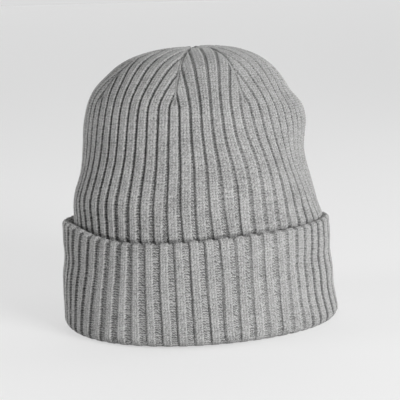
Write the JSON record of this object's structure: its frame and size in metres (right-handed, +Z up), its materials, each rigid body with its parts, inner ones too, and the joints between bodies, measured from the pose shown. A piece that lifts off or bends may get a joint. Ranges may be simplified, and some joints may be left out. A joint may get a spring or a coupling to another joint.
{
  "type": "knit beanie",
  "caption": "Double-layer rib-knit beanie with an oval opening, a domed crown of gores closed by dart seams, and a turned-up cuff that turns down.",
  "frame": {"origin": "on the surface that the hat stands on, under the middle of its oval opening", "axes": "+Z up through the crown; -Y towards the front of the head, +Y towards the back seam; +X to the wearer's left"},
  "size_m": [0.1842, 0.2182, 0.204],
  "materials": {
    "knit": "heather grey rib knit of soft plied yarn, matt and slightly fuzzy",
    "lining": "the same heather grey rib knit, turned to the inside",
    "seam_yarn": "linking stitches in the same grey yarn"
  },
  "bodies": {
    "hat": {"outer_body": "knit", "crown_gore_1": "knit", "crown_gore_2": "knit", "crown_gore_3": "knit", "crown_gore_4": "knit", "crown_gore_5": "knit", "crown_gore_6": "knit", "crown_gore_7": "knit", "dart_seam_1": "seam_yarn", "dart_seam_2": "seam_yarn", "dart_seam_3": "seam_yarn", "dart_seam_4": "seam_yarn", "dart_seam_5": "seam_yarn", "dart_seam_6": "seam_yarn", "dart_seam_7": "seam_yarn", "back_seam": "seam_yarn", "lining_body": "lining", "lining_gore_1": "lining", "lining_gore_2": "lining", "lining_gore_3": "lining", "lining_gore_4": "lining", "lining_gore_5": "lining", "lining_gore_6": "lining", "lining_gore_7": "lining", "lining_dart_seams": "seam_yarn", "lining_back_seam": "seam_yarn", "crown_tie": "seam_yarn", "bottom_fold": "knit", "inner_fold": "knit", "cuff_back_ply": "knit", "cuff_front_ply": "knit", "cuff_seam": "seam_yarn"},
    "cuff_top": {"cuff_edge": "knit"}
  },
  "joints": [
    {"name": "cuff_turn_down", "type": "slide", "parent": "hat", "child": "cuff_top", "axis": [0, 0, 1], "range_m": [-0.134, 0], "deforming": ["cuff_front_ply", "cuff_back_ply", "cuff_seam", "bottom_fold", "inner_fold"]}
  ]
}
